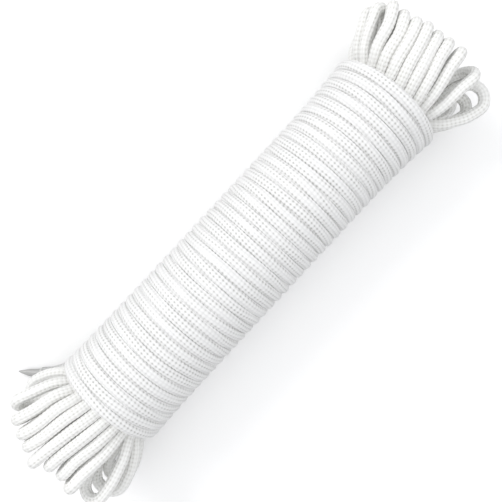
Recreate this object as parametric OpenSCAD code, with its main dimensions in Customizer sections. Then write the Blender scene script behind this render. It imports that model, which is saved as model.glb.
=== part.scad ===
// A hank of white braided utility cord. One long cord runs up and down as a
// skein whose folds fan out at both ends, then binds the skein with close turns
// and leaves its free end beside the left fan. The hank lies along X on z = 0.

/* [Cord] */
// Diameter of the cord
cord_d = 6; // [4:0.5:12]
// Clearance left between neighbouring runs of cord
run_gap = 0.5; // [0.46:0.01:0.6]
// Length of each heat-sealed end
tip_len = 14; // [10:0.5:16]
// Diameter of a sealed end at its very tip
tip_end_d = 1.2; // [1:0.1:2.4]

/* [Winding] */
// Turns round the skein, in two halves
turns = 38; // [20:2:46]
// How much wider the right end of the winding is, on the radius
flare_right = 2.4; // [0:0.2:3]
// How much wider the left end of the winding is, on the radius
flare_left = 1; // [0:0.2:2]

/* [Skein] */
// Reach of the longest fold past the winding, in cord diameters
fold_reach = 7.4; // [7.3:0.1:8.2]
// Width of a fold between its two runs, in cord diameters
fold_span = 2.3; // [2.2:0.02:2.3]

/* [Hidden] */

white = [0.93, 0.94, 0.92];
ivory = [0.9, 0.9, 0.87];
sealed = [0.66, 0.63, 0.56];

sides = 6;
facets = 11;                    // rings in a turn, with a level run at the bottom
tube_r = (cord_d - run_gap) / 2;
flat_r = tube_r * cos(180 / sides);
seat_gap = 0.2;                 // between the winding and the skein's outer runs
floor_cut = cord_d / 10;        // flat that the hank rests on

// Runs of the skein inside the winding, ring by ring
slots = 22;
slot_step = 360 / slots;
folds = slots - 1;
outer_r = 3.73 * cord_d;
middle_r = 2.64 * cord_d;
inner_r = 1.56 * cord_d;
middle_runs = 15;
deep = [0, 4, 8, 11, 14, 18];   // folds whose return run lies in the inner ring
middle_start = -68.5;

wind_r = (outer_r + tube_r + flat_r + seat_gap) / cos(180 / facets);
run_low = wind_r * cos(180 / facets);
axis_z = run_low + flat_r - floor_cut;
half_len = turns * cord_d / 2;
end_x = half_len + cord_d / 6;

// Folds of each fan, from the bottom round by way of +Y, in cord diameters:
// where a fold's middle heads for at fan_depth, across and up from the axis,
// the direction of its outer run in degrees, and how much shorter than the
// longest it is
folds_right = [
    [1.55, -3.4, -90, 1.5], [2.6, -3.4, -88, 1.7], [3.9, -3.5, -83, 1.5],
    [5.45, -3.1, -60, 1.7], [6.2, -1.7, -30, 1.8], [6.55, 0.85, 45, 1.5],
    [5.8, 2, 50, 1.3], [4.95, 3.35, 85, 1.1], [3.7, 3.4, 90, 1.1],
    [2.5, 3.5, 90, 1.4], [1.4, 3.6, 90, 1.1], [0.3, 3.6, 90, 1],
    [-0.8, 3.5, 90, 1], [-2.05, 3.1, 92, 0.7], [-3.75, 2.35, 115, 0.6],
    [-5.4, 1, 175, 0.5], [-5.5, -0.5, 180, 1.7], [-5, -3.15, 240, 1.7],
    [-3.3, -3.4, 268, 1.5], [-1.9, -3.4, 270, 1.7], [-0.8, -3.5, 270, 1.5]
];
folds_left = [
    [1.65, -3.4, -88, 1], [2.75, -3.4, -85, 1.2], [4.2, -3.35, -74, 1],
    [5.7, -2.3, -36, 1.4], [6.1, 0, 5, 1.8], [5.6, 2.1, 60, 1.3],
    [4.4, 3.2, 82, 1.1], [3.15, 3.4, 90, 0.9], [2, 3.5, 90, 0.4],
    [0.85, 3.6, 90, 0.1], [-0.3, 3.55, 90, 0.8], [-1.45, 3.4, 95, 0.7],
    [-2.55, 3.25, 100, 0.4], [-4.15, 2.1, 145, 0.2], [-5.35, 0.45, 170, 0.5],
    [-5.35, -0.85, 185, 1.6], [-4.6, -2.65, 225, 1.4], [-3.15, -3.4, 250, 1.4],
    [-1.9, -3.4, 268, 1.2], [-0.7, -3.5, 270, 1.2], [0.45, -3.5, 270, 1]
];
fan_depth = 4.8 * cord_d;
deep_extra = 0.85 * cord_d;
deep_sink = 0.5 * cord_d;
open_right = [15, 0.55];        // the fold that stands wide open, and by how much
open_left = [13, 0.4];
shoulder = cord_d / 3;

// Free end, in cord diameters from the winding's left end, its axis and floor
tail_route = [[-0.1, 4.6, 2.3], [-0.8, 4.72, 1.1], [-2.2, 5.33, 0.3],
    [-3.6, 6.12, 0], [-4.37, 6.87, 0]];

function unit(v) = v / norm(v);
function polar(r, a) = [r * cos(a), r * sin(a)];

// Runs inside the winding: each fold goes out on an outer run and comes back
// on a middle or an inner one
function outer_slot(k) = polar(outer_r, (k + 1) * slot_step - 90);
function listed(k, list) = len([for (v = list) if (v == k) v]) > 0;
function is_deep(k) = listed(k, deep);
function back_slot(k) =
    let (rank = k - len([for (d = deep) if (d < k) d]), step = 360 / middle_runs)
    is_deep(k) ? polar(inner_r, middle_start + step * (rank - 0.5))
        : polar(middle_r, middle_start + step * rank);

function to_right(v) = [v.x, v.y, v.z];
function to_left(v) = [-v.x, v.y, v.z];

// Seven points of one fold, out on run a and back on run b, on the right side
function fold(a, b, row, extra, sink) =
    let (
        out = polar(1, row[2]),
        span = fold_span * cord_d + extra,
        reach = (fold_reach - row[3]) * cord_d,
        start = [end_x, (a.x + b.x) / 2, (a.y + b.y) / 2],
        mid = [row[0], row[1]] * cord_d - out * sink,
        along = unit([end_x + fan_depth, mid.x, mid.y] - start),
        flat_out = [0, out.x, out.y],
        across = unit(flat_out - along * (along * flat_out)),
        centre = start + along * (reach - span / 2)
    )
    [
        [end_x, a.x, a.y],
        centre + across * span / 2 - along * shoulder,
        for (t = [45, 90, 135])
            centre + (across * cos(t) + along * sin(t)) * span / 2,
        centre - across * span / 2 - along * shoulder,
        [end_x, b.x, b.y]
    ];

function fold_of(k, a, row, open) = fold(a, back_slot(k), row,
    is_deep(k) ? deep_extra : k == open[0] ? open[1] * cord_d : 0,
    is_deep(k) ? deep_sink : 0);
function right_fold(k) =
    [for (p = fold_of(k, outer_slot(k), folds_right[k], open_right)) to_right(p)];
function left_fold(k) =
    let (p = fold_of(k, outer_slot(k + 1), folds_left[k], open_left))
    [for (i = [len(p) - 1:-1:0]) to_left(p[i])];

// The last fold, a narrower one, comes back along the floor, where the winding
// takes it up
lead_row = [0.28, -3.67, -90, 0.9];
lead_narrow = 0.6 * cord_d;
lead_x = end_x + 3 * cord_d;
lead_y = lead_row[0] * cord_d;
lead_fold =
    let (p = fold([lead_y, -run_low], outer_slot(folds), lead_row, -lead_narrow, 0))
    [for (i = [6:-1:1]) p[i], for (x = [cord_d, 0]) [lead_x + x, lead_y, -run_low]];

hidden_start = [cord_d - half_len, outer_slot(0).x, outer_slot(0).y];
skein_route = [
    hidden_start + [tip_len, 0, 0],
    for (k = [0:folds - 1]) each concat(right_fold(k), left_fold(k)),
    each lead_fold
];

// Winding: one ring every 1/facets turn, wider towards both ends
function flare(x) = (x > 0 ? flare_right : flare_left) * pow(abs(x) / half_len, 6);
function turn_point(t) =
    let (x = (t - turns / 2) * cord_d, r = wind_r + flare(x), a = 360 * t - 90)
    [x, r * cos(a), r * sin(a) + (r - wind_r) * cos(180 / facets)];
function turn_out(t) = [0, cos(360 * t - 90), sin(360 * t - 90)];

// The two halves meet at the bottom of a turn, one turn to the right of middle
joint_t = turns / 2 + 1;
joint_point = [cord_d, 0, -run_low];
right_steps = [turns * facets - 1:-1:joint_t * facets];
left_steps = [joint_t * facets - 1:-1:2];

lead_route = [
    [lead_x, lead_y, -run_low],
    [end_x + 1.2 * cord_d, lead_y, -run_low],
    [end_x + 0.3 * cord_d, -cord_d / 6, -run_low]
];
right_route = concat(lead_route,
    [for (i = right_steps) turn_point((i + 0.5) / facets)], [joint_point]);
right_out = concat([for (p = lead_route) [0, 0, -1]],
    [for (i = right_steps) turn_out((i + 0.5) / facets)], [[0, 0, -1]]);

tail_points = [for (p = tail_route)
    [p.x * cord_d - half_len, p.y * cord_d, p.z * cord_d - run_low]];
left_route = concat([joint_point],
    [for (i = left_steps) turn_point((i + 0.5) / facets)], tail_points);
left_wound = concat([[0, 0, -1]], [for (i = left_steps) turn_out((i + 0.5) / facets)]);

// Directions along a route, halfway between its two runs at each inner point
function run_dirs(p) = [for (i = [1:len(p) - 1]) unit(p[i] - p[i - 1])];
function ring_dirs(p) =
    let (d = run_dirs(p), n = len(d))
    [d[0], for (i = [1:n - 1]) unit(d[i - 1] + d[i]), d[n - 1]];

// A direction square to the route, carried along it without twist
function carried(out, from, to) =
    let (v = out - (from + to) * (out * to) / (1 + from * to)) unit(v);
function carry_all(dirs, first) = [
    for (i = 0, v = unit(first - dirs[0] * (first * dirs[0]));
        i < len(dirs);
        v = carried(v, dirs[i], dirs[min(i + 1, len(dirs) - 1)]), i = i + 1) v
];

left_out =
    let (dirs = ring_dirs(left_route), last = len(left_wound) - 1,
        tail_out = carry_all([for (i = [last:len(dirs) - 1]) dirs[i]], left_wound[last]))
    concat(left_wound, [for (i = [1:len(tail_out) - 1]) tail_out[i]]);

// One ring of the cord's section, mitred where the route bends
function ring(p, dir, out, bend) =
    let (
        across = unit(out - dir * (out * dir)),
        up = cross(dir, across),
        half = norm(bend) / 2,
        side = half > 0.001 ? unit(bend) : [0, 0, 0],
        stretch = 1 / sqrt(1 - half * half) - 1
    )
    [for (i = [0:sides - 1])
        let (
            a = 360 * (i + 0.5) / sides,
            v = (across * cos(a) + up * sin(a)) * tube_r,
            w = p + v + side * (v * side) * stretch
        )
        [w.x, w.y, max(w.z + axis_z, 0)]];

// One unbroken tube of flat triangles along a route
module tube(route, outs) {
    d = run_dirs(route);
    dirs = ring_dirs(route);
    n = len(route);
    points = [for (i = [0:n - 1]) each ring(route[i], dirs[i], outs[i],
        i > 0 && i < n - 1 ? d[i] - d[i - 1] : [0, 0, 0])];
    walls = [for (i = [0:n - 2], j = [0:sides - 1])
        let (a = i * sides + j, b = i * sides + (j + 1) % sides)
        each [[a, a + sides, b + sides], [a, b + sides, b]]];
    last = (n - 1) * sides;
    caps = [for (j = [1:sides - 2]) each [[0, j, j + 1], [last, last + j + 1, last + j]]];
    polyhedron(points = points, faces = concat(walls, caps));
}

// Least distance between two straight runs, a to b and c to d
function clip01(v) = min(1, max(0, v));
function run_distance(a, b, c, d) =
    let (
        u = b - a,
        v = d - c,
        w = a - c,
        uu = u * u,
        uv = u * v,
        vv = v * v,
        slope = uu * vv - uv * uv,
        s = slope > 1e-6 ? clip01((uv * (v * w) - vv * (u * w)) / slope) : 0,
        t = clip01((uv * s + v * w) / vv),
        s2 = clip01((uv * t - u * w) / uu)
    )
    norm(a + u * s2 - c - v * t);

// Least gap of a tube to itself, between runs that aren't part of one bend
function least_gap(p) = min([
    for (i = [0:len(p) - 5], j = [i + 3:len(p) - 2])
        run_distance(p[i], p[i + 1], p[j], p[j + 1])
]) - 2 * tube_r;

// A sealed end: it leaves the cord's own section, drawn in, and tapers to a tip
module sealed_end(p, heading, out) {
    dir = unit(heading);
    across = unit(out - dir * (out * dir));
    up = cross(dir, across);
    taper = [[0, 1], [0.1, 0.85], [0.5, 0.8], [0.75, 0.53], [1, tip_end_d / (2 * tube_r)]];
    points = [for (s = taper, i = [0:sides - 1])
        let (
            a = 360 * (i + 0.5) / sides,
            v = p + dir * s[0] * tip_len + (across * cos(a) + up * sin(a)) * tube_r * s[1]
        )
        [v.x, v.y, max(v.z + axis_z, 0)]];
    walls = [for (i = [0:len(taper) - 2], j = [0:sides - 1])
        let (a = i * sides + j, b = i * sides + (j + 1) % sides)
        each [[a, a + sides, b + sides], [a, b + sides, b]]];
    last = (len(taper) - 1) * sides;
    caps = [for (j = [1:sides - 2]) each [[0, j, j + 1], [last, last + j + 1, last + j]]];
    polyhedron(points = points, faces = concat(walls, caps));
}

module skein() {
    echo("skein: least gap to itself", least_gap(skein_route));
    color(ivory) tube(skein_route, carry_all(ring_dirs(skein_route), [0, 0, 1]));
}

module winding_right() {
    echo("winding_right: least gap to itself", least_gap(right_route));
    color(white) tube(right_route, right_out);
}

module winding_left() {
    echo("winding_left: least gap to itself", least_gap(left_route));
    color(white) tube(left_route, left_out);
}

module hidden_tip() {
    color(sealed) sealed_end(hidden_start + [tip_len, 0, 0], [-1, 0, 0], [0, 0, 1]);
}

module free_tip() {
    last = len(tail_points) - 1;
    color(sealed) sealed_end(tail_points[last], tail_points[last] - tail_points[last - 1],
        left_out[len(left_out) - 1]);
}

skein();
winding_right();
winding_left();
hidden_tip();
free_tip();
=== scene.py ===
import math
import bpy
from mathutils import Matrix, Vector


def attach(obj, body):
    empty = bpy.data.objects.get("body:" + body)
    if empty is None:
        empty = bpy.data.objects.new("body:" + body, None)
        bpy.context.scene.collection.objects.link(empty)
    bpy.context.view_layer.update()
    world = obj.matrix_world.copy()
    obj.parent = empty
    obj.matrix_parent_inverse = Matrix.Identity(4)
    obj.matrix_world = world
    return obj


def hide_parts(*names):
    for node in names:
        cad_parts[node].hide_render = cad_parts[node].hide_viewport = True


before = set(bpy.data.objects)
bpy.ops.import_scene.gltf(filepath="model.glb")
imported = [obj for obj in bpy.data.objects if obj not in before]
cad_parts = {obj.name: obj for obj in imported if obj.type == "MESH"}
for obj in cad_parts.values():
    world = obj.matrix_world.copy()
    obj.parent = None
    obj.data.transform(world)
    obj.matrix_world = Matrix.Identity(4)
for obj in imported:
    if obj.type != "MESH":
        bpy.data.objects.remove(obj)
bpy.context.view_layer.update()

# All routes are worked out in millimetres from the hank's axis and turned to metres last
mm = 0.001

hank = {
    "cord": 6.0,            # diameter of the cord
    "turns": 38,            # turns of the winding, side by side
    "squashed": 6.5,        # height of a wound turn, which its neighbours press narrower
    "widening": 1.1,        # how much wider it would be without them
    "seam": 0.01,           # what is left open between a turn and the middle of the seam
    "woundRadius": 28.6,    # from the axis to the middle of a wound turn
    "axisHeight": 31.15,    # the lowest turns are pressed flat by what is left
    "flareRight": 2.4,      # how much wider the winding gets at each end
    "flareLeft": 1.0,
    "flareSharp": 6,        # how late along the winding it widens
    "perTurn": 24,          # points in a turn
    "leadSkips": 2,         # points left out where the lead runs into the first turn
    "tailSkips": 6,         # and where the tail leaves the last one
}
cordD = hank["cord"]
halfLength = hank["turns"] * cordD / 2
endX = halfLength + cordD / 6


# Camera, straight above the hank and turned so that it lies corner to corner
camera = {
    "above": 348,           # from the hank's axis
    "aim": (1.0, -1.5),
    "turn": -47.1,
    "lens": 44.18,
    "sensor": 36.0,
    "clip": (0.01, 20),
}
eye = bpy.data.objects.new("camera", bpy.data.cameras.new("camera"))
eye.data.sensor_width = camera["sensor"]
eye.data.lens = camera["lens"]
eye.data.clip_start, eye.data.clip_end = camera["clip"]
eye.location = [v * mm for v in (*camera["aim"], camera["above"] + hank["axisHeight"])]
eye.rotation_euler = (0, 0, math.radians(camera["turn"]))
bpy.context.scene.collection.objects.link(eye)
bpy.context.scene.camera = eye
print("camera made")


# Small wrapper round a node's socket, so that maths is written as a formula
class Term:
    def __init__(self, graph, socket):
        self.graph = graph
        self.socket = socket

    def fn(self, operation, *others, clamp=False):
        inputs = {0: self}
        for i, other in enumerate(others):
            inputs[i + 1] = other
        return self.graph.add("ShaderNodeMath", {"operation": operation, "use_clamp": clamp}, inputs)

    def back(self, operation, other):
        return self.graph.add("ShaderNodeMath", {"operation": operation}, {0: other, 1: self})

    def __add__(self, other):
        return self.fn("ADD", other)

    def __sub__(self, other):
        return self.fn("SUBTRACT", other)

    def __mul__(self, other):
        return self.fn("MULTIPLY", other)

    def __truediv__(self, other):
        return self.fn("DIVIDE", other)

    def __pow__(self, other):
        return self.fn("POWER", other)

    def __radd__(self, other):
        return self.back("ADD", other)

    def __rsub__(self, other):
        return self.back("SUBTRACT", other)

    def __rmul__(self, other):
        return self.back("MULTIPLY", other)

    def __abs__(self):
        return self.fn("ABSOLUTE")

    # The same value, kept between 0 and 1
    def clamped(self):
        return self.fn("MULTIPLY", 1.0, clamp=True)

    def out(self, name):
        return Term(self.graph, self.socket.node.outputs[name])


class Graph:
    def __init__(self, tree):
        self.tree = tree

    # One node: its type, what is set on it first, then its sockets' values or links
    def add(self, kind, settings=None, inputs=None, out=0):
        node = self.tree.nodes.new(kind)
        for name, value in (settings or {}).items():
            setattr(node, name, value)
        for name, value in (inputs or {}).items():
            socket = node.inputs[name]
            if isinstance(value, Term):
                self.tree.links.new(value.socket, socket)
            else:
                socket.default_value = value
        return Term(self, node.outputs[out])


# A new material with an empty tree, and below it what closes the tree
def blankMaterial(name):
    material = bpy.data.materials.new(name)
    material.use_nodes = True
    material.node_tree.nodes.clear()
    return material, Graph(material.node_tree)


def closeMaterial(g, surface):
    last = g.tree.nodes.new("ShaderNodeOutputMaterial")
    g.tree.links.new(surface.socket, last.inputs["Surface"])


def linked(name, data):
    piece = bpy.data.objects.new(name, data)
    bpy.context.scene.collection.objects.link(piece)
    return piece


def unit(v):
    return v / v.length


def polar(r, degrees):
    a = math.radians(degrees)
    return (r * math.cos(a), r * math.sin(a))


# The skein: where its runs lie inside the winding, and how its folds fan out
skein = {
    "thicker": 0.2,         # what the cord gains on its radius where nothing presses it
    "outerRing": 3.73 * cordD,
    "middleRing": 2.64 * cordD,
    "innerRing": 1.56 * cordD,
    "slots": 22,
    "middleRuns": 15,
    "middleStart": -68.5,
    "deepFolds": (0, 4, 8, 11, 14, 18),     # folds whose return run lies in the inner ring
    "deepExtra": 0.85 * cordD,
    "deepSink": 0.5 * cordD,
    "openRight": (15, 0.55),                # a fold that is wider than the rest, and by how much
    "openLeft": (13, 0.4),
    "fanDepth": 4.8 * cordD,
    "span": 2.3 * cordD,
    "reach": 7.4 * cordD,
    "shoulder": cordD / 3,
    "noseAngles": (45, 90, 135),
    "bow": 0.06,            # how much further from the axis a run is halfway to its fold
    "waistEnd": 10,         # inside each end of the winding the runs are straight
    "hiddenStart": 20,      # from the winding's left end to where the cord begins
    # each fold from the bottom round by way of +Y, in cord diameters: where its middle heads
    # for, across and up, its outer run's direction in degrees, and how much shorter it is
    "foldsRight": (
        (1.55, -3.4, -90, 1.5), (2.6, -3.4, -88, 1.7), (3.9, -3.5, -83, 1.5),
        (5.45, -3.1, -60, 1.7), (6.2, -1.7, -30, 1.8), (6.55, 0.85, 45, 1.5),
        (5.8, 2, 50, 1.3), (4.95, 3.35, 85, 1.1), (3.7, 3.4, 90, 1.1),
        (2.5, 3.5, 90, 1.4), (1.4, 3.6, 90, 1.1), (0.3, 3.6, 90, 1),
        (-0.8, 3.5, 90, 1), (-2.05, 3.1, 92, 0.7), (-3.75, 2.35, 115, 0.6),
        (-5.4, 1, 175, 0.5), (-5.5, -0.5, 180, 1.7), (-5, -3.15, 240, 1.7),
        (-3.3, -3.4, 268, 1.5), (-1.9, -3.4, 270, 1.7), (-0.8, -3.5, 270, 1.5)),
    "foldsLeft": (
        (1.65, -3.4, -88, 1), (2.75, -3.4, -85, 1.2), (4.2, -3.35, -74, 1),
        (5.7, -2.3, -36, 1.4), (6.1, 0, 5, 1.8), (5.6, 2.1, 60, 1.3),
        (4.4, 3.2, 82, 1.1), (3.15, 3.4, 90, 0.9), (2, 3.5, 90, 0.4),
        (0.85, 3.6, 90, 0.1), (-0.3, 3.55, 90, 0.8), (-1.45, 3.4, 95, 0.7),
        (-2.55, 3.25, 100, 0.4), (-4.15, 2.1, 145, 0.2), (-5.35, 0.45, 170, 0.5),
        (-5.35, -0.85, 185, 1.6), (-4.6, -2.65, 225, 1.4), (-3.15, -3.4, 250, 1.4),
        (-1.9, -3.4, 268, 1.2), (-0.7, -3.5, 270, 1.2), (0.45, -3.5, 270, 1)),
    "lead": (0.28, -3.67, -90, 0.9),
    "leadNarrow": 0.6 * cordD,
    "leadEnd": (4, 3),      # its last points, past the winding's end in cord diameters
}
folds = skein["slots"] - 1
floorRun = -hank["woundRadius"]    # height of a run that lies on the floor, from the axis
leadY = skein["lead"][0] * cordD


def outerSlot(k):
    return polar(skein["outerRing"], (k + 1) * 360 / skein["slots"] - 90)


def backSlot(k):
    rank = k - sum(1 for d in skein["deepFolds"] if d < k)
    step = 360 / skein["middleRuns"]
    if k in skein["deepFolds"]:
        return polar(skein["innerRing"], skein["middleStart"] + step * (rank - 0.5))
    return polar(skein["middleRing"], skein["middleStart"] + step * rank)


# Halfway between two points, and a little further from the axis
def bowed(a, b, bow):
    middle = (a + b) / 2
    return Vector((middle.x, middle.y * (1 + bow), middle.z * (1 + bow)))


# Points of one fold, out on run a and back on run b, on the right side
def foldPoints(a, b, row, extra, sink, bow):
    across, up, turn, shorter = row
    outY, outZ = polar(1, turn)
    span = skein["span"] + extra
    reach = skein["reach"] - shorter * cordD
    start = Vector((endX, (a[0] + b[0]) / 2, (a[1] + b[1]) / 2))
    middle = Vector((endX + skein["fanDepth"], across * cordD - outY * sink, up * cordD - outZ * sink))
    along = unit(middle - start)
    flatOut = Vector((0, outY, outZ))
    across = unit(flatOut - along * along.dot(flatOut))
    centre = start + along * (reach - span / 2)
    exitA, exitB = Vector((endX, a[0], a[1])), Vector((endX, b[0], b[1]))
    shoulderA = centre + across * span / 2 - along * skein["shoulder"]
    shoulderB = centre - across * span / 2 - along * skein["shoulder"]
    nose = []
    for t in skein["noseAngles"]:
        c, s = math.cos(math.radians(t)), math.sin(math.radians(t))
        nose.append(centre + (across * c + along * s) * span / 2)
    return [exitA, bowed(exitA, shoulderA, bow), shoulderA, *nose,
            shoulderB, bowed(exitB, shoulderB, bow), exitB]


def foldOf(k, a, row, wide):
    extra, sink = (wide[1] * cordD if k == wide[0] else 0), 0
    if k in skein["deepFolds"]:
        extra, sink = skein["deepExtra"], skein["deepSink"]
    return foldPoints(a, backSlot(k), row, extra, sink, skein["bow"])


def mirrored(points):
    return [Vector((-p.x, p.y, p.z)) for p in points]


def waist(run, side):
    return Vector((side * (halfLength - skein["waistEnd"]), run[0], run[1]))


# The whole skein: a list of folds' points, with straight runs between them
def skeinRoute():
    points = []
    for k in range(folds):
        right = foldOf(k, outerSlot(k), skein["foldsRight"][k], skein["openRight"])
        left = mirrored(foldOf(k, outerSlot(k + 1), skein["foldsLeft"][k], skein["openLeft"]))[::-1]
        if k == 0:
            first = Vector((skein["hiddenStart"] - halfLength, outerSlot(0)[0], outerSlot(0)[1]))
            points += [first, first + Vector((cordD, 0, 0))]
        else:
            points.append(waist(outerSlot(k), -1))
        points.append(waist(outerSlot(k), 1))
        points += right
        points += [waist(backSlot(k), 1), waist(backSlot(k), -1)]
        points += left
    points += [waist(outerSlot(folds), -1), waist(outerSlot(folds), 1)]
    leadFold = foldPoints((leadY, floorRun), outerSlot(folds), skein["lead"], -skein["leadNarrow"], 0, 0)
    points += leadFold[::-1][:-2]
    return points + [Vector((endX + out * cordD, leadY, floorRun)) for out in skein["leadEnd"]]


def flare(x):
    widest = hank["flareRight"] if x > 0 else hank["flareLeft"]
    return widest * (abs(x) / halfLength) ** hank["flareSharp"]


def turnPoint(t):
    x = (t - hank["turns"] / 2) * cordD
    wider = flare(x)
    y, z = polar(hank["woundRadius"] + wider, 360 * t - 90)
    return Vector((x, y, z + wider))


# From the winding's right end, in cord diameters, then sideways and up in mm
lead = {"points": ((3, 0, 0), (2, 0, 0), (1.1, -0.4, 0), (0.3, -4.6, 0.25))}
# From the winding's left end, its axis and the floor, in cord diameters
tail = {"points": ((-0.12, 4.72, 2.6), (-0.8, 4.85, 1.2), (-2.2, 5.4, 0.32),
                   (-3.6, 6.15, 0), (-4.37, 6.87, 0))}


# The winding, from the lead on the floor at the right end to the free end at the left
def windingRoute():
    points = [Vector((endX + out * cordD, leadY + across, floorRun + up))
              for out, across, up in lead["points"]]
    perTurn = hank["perTurn"]
    for i in range(hank["turns"] * perTurn - hank["leadSkips"], hank["tailSkips"] - 1, -1):
        points.append(turnPoint(i / perTurn))
    for p in tail["points"]:
        points.append(Vector((p[0] * cordD - halfLength, p[1] * cordD, p[2] * cordD + floorRun)))
    return points


# How finely the cord is drawn
drawing = {
    "step": 0.25,           # between the points of a smooth line, in mm
    "stepsPerStitch": 4,    # rings in a stitch
    "hiddenRings": 20,      # one ring in so many is kept where the cord is hidden
    "hiddenFrom": 9,        # how far inside the winding's ends it is hidden
    # where the cord is cut into pieces: the skein's runs as they pass the hank's middle, and
    # the winding's turns as they pass the bottom
    "skeinCuts": (11, 22, 33),
    "windingCuts": (6, 12, 18, 25, 31),
    "rightPieces": 3,       # pieces of the winding's right half
}


# A smooth curve through points, sampled closely
def smoothLine(points):
    n = len(points)
    h = [(points[i + 1] - points[i]).length for i in range(n - 1)]
    d = [(points[i + 1] - points[i]) / h[i] for i in range(n - 1)]
    tangents = [d[0]]
    for i in range(1, n - 1):
        tangents.append((d[i] * h[i - 1] + d[i - 1] * h[i]) / (h[i - 1] + h[i]))
    tangents.append(d[-1])
    line = []
    for i in range(n - 1):
        count = max(1, round(h[i] / drawing["step"]))
        for j in range(count):
            t = j / count
            t2, t3 = t * t, t * t * t
            line.append(points[i] * (2 * t3 - 3 * t2 + 1) + tangents[i] * h[i] * (t3 - 2 * t2 + t)
                        + points[i + 1] * (3 * t2 - 2 * t3) + tangents[i + 1] * h[i] * (t3 - t2))
    line.append(points[-1])
    return line


# Ring centres on a line, each with how far along the cord it is: a few to each stitch where
# the cord shows, and hardly any where it is hidden
def ringsOn(line, startAt, spacing, hidden):
    at, total = [startAt], startAt
    for a, b in zip(line, line[1:]):
        total += (b - a).length
        at.append(total)
    rings = [(line[0], startAt)]
    want = (math.floor(startAt / spacing + 1e-6) + 1) * spacing
    i = 0
    while want < total - 1e-6:
        while at[i + 1] < want:
            i += 1
        share = (want - at[i]) / (at[i + 1] - at[i])
        spot = line[i].lerp(line[i + 1], share)
        rings.append((spot, want))
        want += spacing * (drawing["hiddenRings"] if hidden(spot) else 1)
    rings.append((line[-1], total))
    return rings


braid = {
    "wales": 10,            # rounded strands side by side round the cord
    "stitch": 2.3,          # length of one stitch, in mm
    "groove": 0.16,         # depth of the grooves between strands, in mm
    "pit": 0.34,            # extra depth where a groove crosses a stitch's end
    "seam": 0.05,           # depth of the stitches' ends on top of a strand
    "bulge": 0.12,          # how far a stitch's middle stands proud of the cord
    "twist": 0.55,          # slow turn of the strands round the cord, in degrees per mm
    "sway": 1.6,            # how far the twist wanders, in radians
    "swayScale": 16,
    "uneven": 0.07,         # small lumps, in mm
    "lumpScale": 420.0,
    "sides": 40,
}
treeSizes = ("Cord radius", "Widening", "Half width", "Stitch length", "Groove depth", "Pit depth",
             "Seam depth", "Bulge", "Twist", "Uneven")
treeCounts = ("Wales", "Sides")


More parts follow.
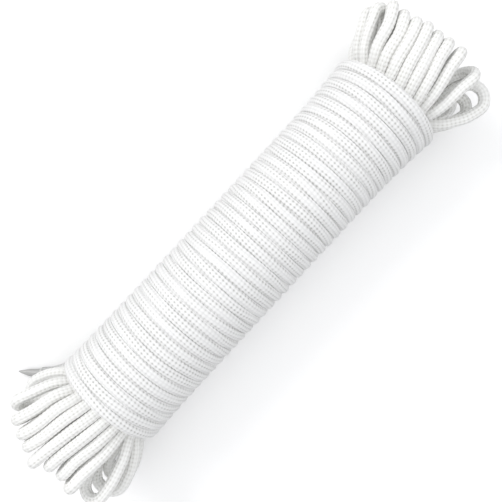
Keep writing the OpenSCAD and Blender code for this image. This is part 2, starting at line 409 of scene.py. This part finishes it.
# The nodes that turn a line into braided cord
def braidTree():
    tree = bpy.data.node_groups.new("braidedCord", "GeometryNodeTree")
    tree.interface.new_socket("Geometry", in_out="INPUT", socket_type="NodeSocketGeometry")
    for name in treeSizes:
        tree.interface.new_socket(name, in_out="INPUT", socket_type="NodeSocketFloat")
    for name in treeCounts:
        tree.interface.new_socket(name, in_out="INPUT", socket_type="NodeSocketInt")
    tree.interface.new_socket("Cord material", in_out="INPUT", socket_type="NodeSocketMaterial")
    tree.interface.new_socket("Geometry", in_out="OUTPUT", socket_type="NodeSocketGeometry")
    g = Graph(tree)
    given = g.add("NodeGroupInput")

    # the line, turned slowly along its length
    along = g.add("GeometryNodeInputNamedAttribute", {"data_type": "FLOAT"}, {"Name": "along"})
    curve = g.add("GeometryNodeMeshToCurve", None, {"Mesh": given})
    sway = g.add("ShaderNodeTexNoise", {"noise_dimensions": "1D"},
                 {"W": along * braid["swayScale"], "Scale": 1.0, "Detail": 1.0})
    tilt = along * given.out("Twist") + (sway - 0.5) * braid["sway"]
    curve = g.add("GeometryNodeSetCurveTilt", None, {"Curve": curve, "Tilt": tilt})
    where = g.add("GeometryNodeInputPosition")
    middle = g.add("GeometryNodeCaptureAttribute", None, {"Geometry": curve})
    middle.socket.node.capture_items.new("VECTOR", "centre")
    tree.links.new(where.socket, middle.socket.node.inputs["centre"])

    # a plain tube round it, whose points know how far round they are
    section = g.add("GeometryNodeCurvePrimitiveCircle", {"mode": "RADIUS"},
                    {"Resolution": given.out("Sides"), "Radius": given.out("Cord radius")})
    index = g.add("GeometryNodeInputIndex")
    counted = g.add("GeometryNodeCaptureAttribute", None, {"Geometry": section})
    counted.socket.node.capture_items.new("FLOAT", "around")
    tree.links.new((index / given.out("Sides")).socket, counted.socket.node.inputs["around"])
    tube = g.add("GeometryNodeCurveToMesh", None,
                 {"Curve": middle, "Profile Curve": counted, "Fill Caps": True})
    around = counted.out("around")

    # strands and stitches, as what is taken off the radius
    across = abs((around * given.out("Wales") * math.pi).fn("SINE"))
    lengthwise = abs((along / given.out("Stitch length") * math.pi).fn("SINE"))
    groove = (1 - across) ** 2
    seam = (1 - lengthwise) ** 2
    lower = (given.out("Groove depth") * groove + given.out("Pit depth") * groove * seam
             + given.out("Seam depth") * seam * (1 - groove)
             - given.out("Bulge") * across * lengthwise)
    lumps = g.add("ShaderNodeTexNoise", {"noise_dimensions": "3D"},
                  {"Scale": braid["lumpScale"], "Detail": 1.0})
    radius = given.out("Cord radius") - lower + (lumps - 0.5) * given.out("Uneven")
    arm = g.add("ShaderNodeVectorMath", {"operation": "SUBTRACT"},
                {0: g.add("GeometryNodeInputPosition"), 1: middle.out("centre")})
    heading = g.add("ShaderNodeVectorMath", {"operation": "NORMALIZE"}, {0: arm})
    reach = g.add("ShaderNodeVectorMath", {"operation": "SCALE"}, {0: heading, "Scale": radius})

    # pressed flat against its neighbours along X, and on the floor
    width = given.out("Half width")
    reachParts = g.add("ShaderNodeSeparateXYZ", None, {0: reach})
    reach = g.add("ShaderNodeCombineXYZ", None, {
        "X": (reachParts * given.out("Widening")).fn("MINIMUM", width).fn("MAXIMUM", width * -1.0),
        "Y": reachParts.out("Y"), "Z": reachParts.out("Z")})
    place = g.add("ShaderNodeVectorMath", {"operation": "ADD"}, {0: middle.out("centre"), 1: reach})
    parts = g.add("ShaderNodeSeparateXYZ", None, {0: place})
    pressed = g.add("ShaderNodeCombineXYZ", None,
                    {"X": parts, "Y": parts.out("Y"), "Z": parts.out("Z").fn("MAXIMUM", 0.0)})
    tube = g.add("GeometryNodeSetPosition", None, {"Geometry": tube, "Position": pressed})

    # where each point is on the braid, for the material
    angle = around * (2 * math.pi)
    follow = g.add("ShaderNodeCombineXYZ", None,
                   {"X": angle.fn("COSINE"), "Y": angle.fn("SINE"),
                    "Z": along / given.out("Stitch length")})
    tube = g.add("GeometryNodeStoreNamedAttribute", {"data_type": "FLOAT_VECTOR", "domain": "POINT"},
                 {"Geometry": tube, "Name": "braid", "Value": follow})
    tube = g.add("GeometryNodeSetShadeSmooth", None, {"Geometry": tube})
    tube = g.add("GeometryNodeRealizeInstances", None, {"Geometry": tube})
    tube = g.add("GeometryNodeSetMaterial", None,
                 {"Geometry": tube, "Material": given.out("Cord material")})
    last = tree.nodes.new("NodeGroupOutput")
    tree.links.new(tube.socket, last.inputs[0])
    return tree


# One piece of cord: a line of ring centres made into a braided tube
def cordPiece(name, rings, tree, material, radius, widening, halfWidth):
    points = [tuple(c * mm for c in (p.x, p.y, p.z + hank["axisHeight"])) for p, _ in rings]
    mesh = bpy.data.meshes.new(name + "Line")
    mesh.from_pydata(points, [(i, i + 1) for i in range(len(points) - 1)], [])
    mesh.attributes.new("along", "FLOAT", "POINT").data.foreach_set("value", [s * mm for _, s in rings])
    piece = linked(name, mesh)
    modifier = piece.modifiers.new("braid", "NODES")
    modifier.node_group = tree
    values = {
        "Cord radius": radius * mm,
        "Widening": widening,
        "Half width": halfWidth * mm,
        "Stitch length": braid["stitch"] * mm,
        "Groove depth": braid["groove"] * mm,
        "Pit depth": braid["pit"] * mm,
        "Seam depth": braid["seam"] * mm,
        "Bulge": braid["bulge"] * mm,
        "Twist": math.radians(braid["twist"]) / mm,
        "Uneven": braid["uneven"] * mm,
        "Wales": braid["wales"],
        "Sides": braid["sides"],
        "Cord material": material,
    }
    for item in tree.interface.items_tree:
        if item.item_type == "SOCKET" and item.in_out == "INPUT" and item.name in values:
            modifier[item.identifier] = values[item.name]
    bpy.context.view_layer.update()
    made = bpy.data.meshes.new_from_object(piece.evaluated_get(bpy.context.evaluated_depsgraph_get()))
    piece.modifiers.clear()
    piece.data = made
    made.name = name
    return piece, points


# Braided nylon: stitches, fine threads along each strand, painted shade in the pits and grooves between the
# strands, and painted light on the stitches' tops
nylon = {
    # colour, and how bright a pit's bottom is painted beside the strands: painted shade
    "outer": ((0.95, 0.95, 0.945), 0.42),
    # the skein's copy of the same nylon is painted lighter and warmer, with fainter pits: painted light
    "inner": ((0.985, 0.985, 0.965), 0.72),
    "pitBounceTint": (1, 0.985, 0.90),     # painted warm bounce light in the pits
    "pitBounce": 0.55,
    "grooveSharp": 1.3,
    "seamSharp": 1.2,
    "grooveShade": 0.96,
    "clear": (1.3, 0.09),   # how fast the pits' clearness changes round the cord and along it
    "clearGain": (6.0, 2.3),
    "threads": (9.0, 0.9),  # how fine the threads are, round the cord and along it
    "threadScale": 3.0,
    "patchScale": 60.0,
    "stitchTopLight": (0.92, 0.10),         # painted light on the stitches' tops and shade between them: darkest value, and what is added to it at most
    "threadTone": (0.93, 0.10),
    "patchTone": (0.975, 0.05),
    "glow": 0.25,           # share of light that soaks into the threads
    "glowDepth": 0.004,
    "rough": 0.52,
    "grooveRough": 0.2,
    "threadSheen": 0.08,
    "sheen": 0.12,
    "sheenRough": 0.4,
    "refraction": 1.53,
    "bump": (0.35, 0.00025),
    "bumpHeights": (0.35, 0.8, 0.25),   # of threads, pits and grooves
    "endShadeStitches": 14,            # painted shade: stitches beside the melted end that are painted greyer
    "endShade": 0.4,
}


def nylonMaterial(name, colour, pitShade, length):
    material, g = blankMaterial(name)
    follow = g.add("ShaderNodeSeparateXYZ", None,
                   {0: g.add("ShaderNodeAttribute", {"attribute_name": "braid"}).out("Vector")})
    stitches = follow.out("Z")

    # the same position on the braid, stretched round the cord and along it
    def stretched(fineness):
        byTurn, byLength = fineness
        return g.add("ShaderNodeCombineXYZ", None, {
            "X": follow.out("X") * byTurn, "Y": follow.out("Y") * byTurn, "Z": stitches * byLength})

    def tone(limits, value):
        return limits[0] + value * limits[1]

    wales = follow.out("Y").fn("ARCTAN2", follow.out("X")) / (2 * math.pi) * braid["wales"]
    across = abs((wales * math.pi).fn("SINE"))
    lengthwise = abs((stitches * math.pi).fn("SINE"))
    groove = (1 - across) ** nylon["grooveSharp"]
    seam = (1 - lengthwise) ** nylon["seamSharp"]
    clear = g.add("ShaderNodeTexNoise", {"noise_dimensions": "3D"},
                  {"Vector": stretched(nylon["clear"]), "Scale": 1.0, "Detail": 1.0})
    gain, offset = nylon["clearGain"]
    pit = groove * seam * (clear * gain - offset).clamped()
    threads = g.add("ShaderNodeTexNoise", {"noise_dimensions": "3D"}, {
        "Vector": stretched(nylon["threads"]), "Scale": nylon["threadScale"],
        "Detail": 2.0, "Roughness": 0.6})
    patches = g.add("ShaderNodeTexNoise", {"noise_dimensions": "3D"}, {
        "Vector": g.add("ShaderNodeTexCoord").out("Object"),
        "Scale": nylon["patchScale"], "Detail": 2.0})
    nearEnd = ((stitches - length / braid["stitch"]) / nylon["endShadeStitches"] + 1.0).fn("MAXIMUM", 0.0)
    # painted shade in the pits and grooves and beside the free end, and painted light on the stitches'
    # tops; the threads and patches are the cord's own uneven colour
    shade = ((1 - nearEnd * nylon["endShade"])
             * (1 - pit * (1 - pitShade)) * (1 - groove * (1 - nylon["grooveShade"]))
             * tone(nylon["stitchTopLight"], across * lengthwise)
             * tone(nylon["threadTone"], threads) * tone(nylon["patchTone"], patches))
    # painted warm bounce light in the pits, mixed in where the pits are
    tinted = [c * t for c, t in zip(colour, nylon["pitBounceTint"])]
    pitBounce = g.add("ShaderNodeMix", {"data_type": "RGBA", "blend_type": "MIX"}, out=2, inputs={
        0: (pit * nylon["pitBounce"]).fn("MINIMUM", 1.0), 6: (*colour, 1), 7: (*tinted, 1)})
    dark = g.add("ShaderNodeCombineColor", None, {0: shade, 1: shade, 2: shade})
    base = g.add("ShaderNodeMix", {"data_type": "RGBA", "blend_type": "MULTIPLY"}, out=2,
                 inputs={0: 1.0, 6: pitBounce, 7: dark})
    threadHeight, pitDepth, grooveDepth = nylon["bumpHeights"]
    height = threads * threadHeight - pit * pitDepth - groove * grooveDepth
    strength, distance = nylon["bump"]
    bump = g.add("ShaderNodeBump", None, {"Strength": strength, "Distance": distance, "Height": height})
    rough = nylon["rough"] + groove * nylon["grooveRough"] - threads * nylon["threadSheen"]
    closeMaterial(g, g.add("ShaderNodeBsdfPrincipled", None, {
        "Base Color": base, "Roughness": rough, "Normal": bump, "IOR": nylon["refraction"],
        "Sheen Weight": nylon["sheen"], "Sheen Roughness": nylon["sheenRough"],
        "Subsurface Weight": nylon["glow"], "Subsurface Radius": (1, 1, 1),
        "Subsurface Scale": nylon["glowDepth"]}))
    return material


def insideWinding(spot):
    return abs(spot.x) < halfLength - drawing["hiddenFrom"]


def nowhereHidden(spot):
    return False


# Cuts a list of rings into pieces that share their end rings
def cutAt(rings, places):
    edges = [0, *places, len(rings) - 1]
    return [rings[a:b + 1] for a, b in zip(edges, edges[1:])]


# Every place where the line passes the middle of the hank, or the bottom of a turn
def crossings(rings, test):
    return [i for i in range(1, len(rings)) if test(rings[i - 1][0], rings[i][0])]


tree = braidTree()
spacing = braid["stitch"] / drawing["stepsPerStitch"]
skeinRings = ringsOn(smoothLine(skeinRoute()), 0.0, spacing, insideWinding)
windingRings = ringsOn(smoothLine(windingRoute()), skeinRings[-1][1], spacing, nowhereHidden)
cordLength = windingRings[-1][1]
# the skein's cord is the same nylon as the winding's, painted lighter with fainter pit shade as painted
# light
outerNylon = nylonMaterial("braidedNylonOuter", *nylon["outer"], cordLength)
innerNylon = nylonMaterial("braidedNylonInner", *nylon["inner"], cordLength)
print("cord materials made")

middles = crossings(skeinRings, lambda a, b: a.x * b.x <= 0 and a.x != b.x)
bottoms = crossings(windingRings, lambda a, b: a.y * b.y <= 0 and b.z < 0)
skeinParts = cutAt(skeinRings, [middles[i] for i in drawing["skeinCuts"]])
windingParts = cutAt(windingRings, [bottoms[i] for i in drawing["windingCuts"]])

# Each entry: the piece, its line's points, its rings and the nodes that it stands for
cordPieces = []
for i, rings in enumerate(skeinParts):
    # neither widened nor pressed: its half width is never reached
    made = cordPiece(f"skeinCord{i + 1}", rings, tree, innerNylon,
                     cordD / 2 + skein["thicker"], 1.0, cordD)
    cordPieces.append((*made, rings, ("skein",)))
for i, rings in enumerate(windingParts):
    nodes = ("winding_right",) if i < drawing["rightPieces"] else ("winding_left",)
    made = cordPiece(f"windingCord{i + 1}", rings, tree, outerNylon,
                     hank["squashed"] / 2, hank["widening"], cordD / 2 - hank["seam"])
    cordPieces.append((*made, rings, nodes))
for piece, points, rings, nodes in cordPieces:
    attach(piece, "root")
    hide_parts(*nodes)
    "cord_inner" if nodes == ("skein",) else "cord_outer"
print("cord laid,", round(cordLength * mm, 3), "m in", len(cordPieces), "pieces,",
      sum(len(p[0].data.polygons) for p in cordPieces), "faces")


# Melted end: the cord runs into a smooth, squeezed taper
sealedEnd = {
    "length": 14.4,
    "sides": 28,
    "steps": 28,
    # radius along the end, from where the braid stops to the tip
    "profile": ((0, 2.9), (0.06, 2.62), (0.24, 2.4), (0.5, 2.2), (0.74, 1.5), (0.92, 0.8), (1, 0.3)),
    "squeeze": 0.86,
    "squeezeGain": 1.5,     # how soon along the end it is fully squeezed
    "ridges": (9, 0.05),    # strands that show through near the braid, and their height
    "kink": (2, 0.03, 9),   # lobes, their height and how fast they turn along the end
    "bend": 0.26,           # how far it bows towards its own left, as a share of a turn's radius
    "burnt": 9,             # how soon along the end it takes its full colour
    "clean": (0.80, 0.80, 0.78),
    "colour": (0.44, 0.44, 0.43),
    "rough": (0.28, 0.15),
    "streakScale": 900.0,
    "mottle": 0.5,          # how unevenly the colour comes
    "bump": (0.4, 0.0002),
    "refraction": 1.53,
}


def sealedMaterial():
    material, g = blankMaterial("meltedNylon")
    streaks = g.add("ShaderNodeTexNoise", {"noise_dimensions": "3D"}, {
        "Vector": g.add("ShaderNodeTexCoord").out("Object"),
        "Scale": sealedEnd["streakScale"], "Detail": 3.0})
    burnt = g.add("ShaderNodeAttribute", {"attribute_name": "burnt"}).out("Fac")
    tone = g.add("ShaderNodeMix", {"data_type": "RGBA", "blend_type": "MIX"}, out=2, inputs={
        0: (burnt + (streaks - 0.5) * sealedEnd["mottle"]).clamped(),
        6: (*sealedEnd["clean"], 1), 7: (*sealedEnd["colour"], 1)})
    strength, distance = sealedEnd["bump"]
    bump = g.add("ShaderNodeBump", None, {"Strength": strength, "Distance": distance, "Height": streaks})
    plain, extra = sealedEnd["rough"]
    closeMaterial(g, g.add("ShaderNodeBsdfPrincipled", None, {
        "Base Color": tone, "Roughness": plain + streaks * extra, "Normal": bump,
        "IOR": sealedEnd["refraction"]}))
    return material


# Radius of the end at a share of its length
def endRadius(share):
    profile = sealedEnd["profile"]
    k = max(j for j in range(len(profile) - 1) if profile[j][0] <= share)
    (s0, r0), (s1, r1) = profile[k], profile[k + 1]
    return r0 + (r1 - r0) * (share - s0) / (s1 - s0)


def sealedTip(name, start, heading, bow, material):
    side = unit(Vector((0, 0, 1)) - heading * heading.z)
    other = heading.cross(side)
    vertices, burnt, faces = [], [], []
    n, steps = sealedEnd["sides"], sealedEnd["steps"]
    ridges, ridgeHeight = sealedEnd["ridges"]
    lobes, lobeHeight, lobeTurn = sealedEnd["kink"]
    for i in range(steps + 1):
        share = i / steps
        radius = endRadius(share)
        squeeze = 1 - (1 - sealedEnd["squeeze"]) * min(1, share * sealedEnd["squeezeGain"])
        spine = start + (heading * share + other * bow * share * share / 2) * sealedEnd["length"]
        for j in range(n):
            a = 2 * math.pi * j / n
            wave = (1 + ridgeHeight * math.sin(ridges * a) * (1 - share)
                    + lobeHeight * math.sin(lobes * a + lobeTurn * share))
            v = spine + side * math.cos(a) * radius * squeeze * wave + other * math.sin(a) * radius * wave
            z = max(v.z + hank["axisHeight"], 0.0)
            vertices.append((v.x * mm, v.y * mm, z * mm))
            burnt.append(min(1, share * sealedEnd["burnt"]))
    for i in range(steps):
        for j in range(n):
            a, b = i * n + j, i * n + (j + 1) % n
            faces.append((a, b, b + n, a + n))
    faces.append(tuple(range(n))[::-1])
    faces.append(tuple(range(steps * n, steps * n + n)))
    mesh = bpy.data.meshes.new(name)
    mesh.from_pydata(vertices, [], faces)
    mesh.attributes.new("burnt", "FLOAT", "POINT").data.foreach_set("value", burnt)
    mesh.shade_smooth()
    mesh.materials.append(material)
    return linked(name, mesh)


melted = sealedMaterial()
firstRings, lastRings = skeinParts[0], windingParts[-1]
hiddenTip = sealedTip("hiddenEnd", firstRings[0][0], unit(firstRings[0][0] - firstRings[1][0]), 0, melted)
freeTip = sealedTip("freeEnd", lastRings[-1][0], unit(lastRings[-1][0] - lastRings[-2][0]),
                    sealedEnd["bend"], melted)
for piece, node in ((hiddenTip, "hidden_tip"), (freeTip, "free_tip")):
    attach(piece, "root")
    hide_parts(node)

for i, (piece, points, rings, nodes) in enumerate(cordPieces):
    extras = [hiddenTip] if i == 0 else [freeTip] if i == len(cordPieces) - 1 else []
    (rings[-1][1] - rings[0][1]) * mm
    "bare" if i == len(cordPieces) - 1 else "object"


# Pale floor that keeps a faint shadow, and a soft studio light from the +Y side
studio = {
    "floorSize": 3.0,
    "floorLow": -0.0002,                    # just under the hank
    "floor": (0.90, 0.90, 0.90),
    "floorBounce": (0.62, 0.62, 0.62),      # what the floor gives back to the hank
    "floorGlow": 0.14,
    "floorRough": (0.85, 0.1),
    "grainScale": 30.0,
    "keyPlace": (-0.1, 1.03, 0.87), "keySize": 0.6, "keyPower": 5.8, "keyColour": (1.0, 0.995, 0.985),
    "fillPlace": (0.5, -0.6, 0.9), "fillSize": 1.0, "fillPower": 1, "fillColour": (0.98, 1.0, 1.0),
    "worldColour": (0.98, 0.985, 1.0), "horizon": 0.42, "overhead": 0.73,
}


def floorPiece():
    mesh = bpy.data.meshes.new("floor")
    size, low = studio["floorSize"], studio["floorLow"]
    mesh.from_pydata([(-size, -size, low), (size, -size, low), (size, size, low), (-size, size, low)],
                     [], [(0, 1, 2, 3)])
    material, g = blankMaterial("paleFloor")
    grain = g.add("ShaderNodeTexNoise", {"noise_dimensions": "3D"},
                  {"Vector": g.add("ShaderNodeTexCoord").out("Object"), "Scale": studio["grainScale"]})
    plain, extra = studio["floorRough"]
    lit = g.add("ShaderNodeBsdfPrincipled", None,
                {"Base Color": (*studio["floor"], 1), "Roughness": plain + grain * extra})
    glow = g.add("ShaderNodeEmission", None, {"Color": (1, 1, 1, 1), "Strength": studio["floorGlow"]})
    both = g.add("ShaderNodeAddShader", None, {0: lit, 1: glow})
    bounce = g.add("ShaderNodeBsdfDiffuse", None, {"Color": (*studio["floorBounce"], 1)})
    seen = g.add("ShaderNodeLightPath").out("Is Camera Ray")
    closeMaterial(g, g.add("ShaderNodeMixShader", None, {0: seen, 1: bounce, 2: both}))
    mesh.materials.append(material)
    linked("floor", mesh)


def softLamp(name, place, size, power, colour):
    lamp = linked(name, bpy.data.lights.new(name, "AREA"))
    lamp.data.shape = "DISK"
    lamp.data.size = size
    lamp.data.energy = power
    lamp.data.color = colour
    lamp.location = place
    lamp.rotation_euler = (-Vector(place)).to_track_quat("-Z", "Y").to_euler()


# Brighter overhead than at the horizon, and plain white where the camera sees it
def studioSky():
    world = bpy.data.worlds.new("studioWorld")
    world.use_nodes = True
    world.node_tree.nodes.clear()
    g = Graph(world.node_tree)
    upward = g.add("ShaderNodeSeparateXYZ", None,
                   {0: g.add("ShaderNodeTexCoord").out("Generated")}).out("Z").fn("MAXIMUM", 0.0)
    around = g.add("ShaderNodeBackground", None, {
        "Color": (*studio["worldColour"], 1),
        "Strength": upward * studio["overhead"] + studio["horizon"]})
    plain = g.add("ShaderNodeBackground", None, {"Color": (1, 1, 1, 1), "Strength": 1.0})
    seen = g.add("ShaderNodeLightPath").out("Is Camera Ray")
    backdrop = g.add("ShaderNodeMixShader", None, {0: seen, 1: around, 2: plain})
    g.tree.links.new(backdrop.socket, g.tree.nodes.new("ShaderNodeOutputWorld").inputs["Surface"])
    bpy.context.scene.world = world


floorPiece()
for lampName in ("key", "fill"):
    softLamp(lampName + "Lamp", *(studio[lampName + what] for what in ("Place", "Size", "Power", "Colour")))
studioSky()
bpy.context.scene.view_settings.view_transform = "Standard"
print("floor and lights made")
